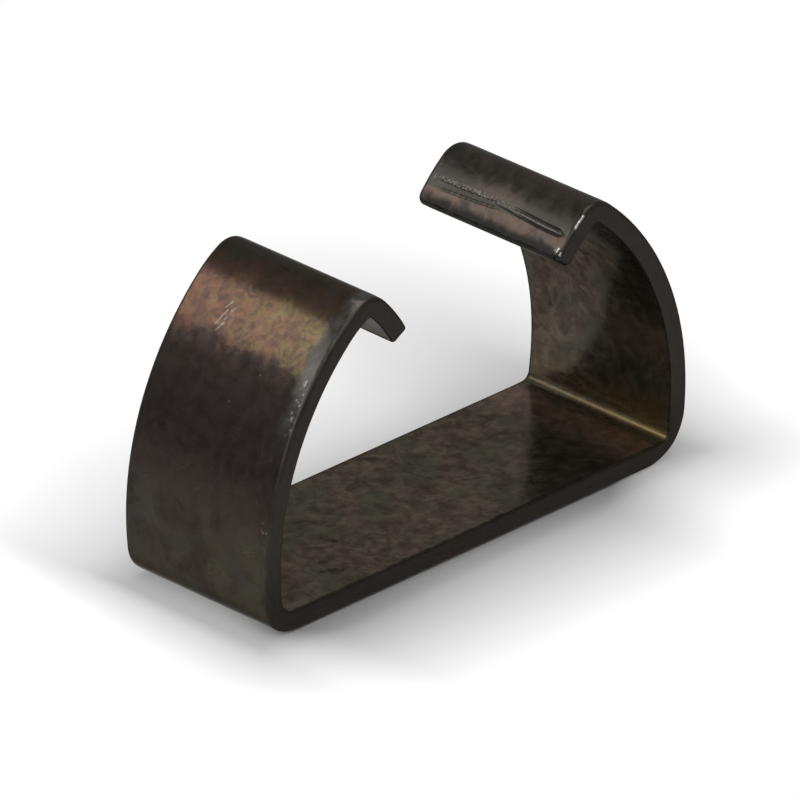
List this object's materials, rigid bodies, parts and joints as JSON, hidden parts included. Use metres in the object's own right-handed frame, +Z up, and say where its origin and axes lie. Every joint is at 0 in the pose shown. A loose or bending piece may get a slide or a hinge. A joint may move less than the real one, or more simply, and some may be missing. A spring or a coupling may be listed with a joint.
{
  "type": "spring clip",
  "caption": "C-shaped spring clip folded from one strip of dark spring steel, with a flat base, bowed arms and lips that turn in at the mouth.",
  "frame": {"origin": "underside of the flat base, below the middle of the clip's overall length and width", "axes": "+X along the base, towards the arm whose lip has the pressed groove; +Y across the strip, away from the groove's rounded end; +Z up, out of the mouth"},
  "size_m": [0.0378, 0.0126, 0.0208],
  "materials": {
    "dark_spring_steel": "semi-gloss dark oxide, mottled brown and olive"
  },
  "bodies": {
    "root": {"spring_clip": "dark_spring_steel"}
  },
  "joints": []
}
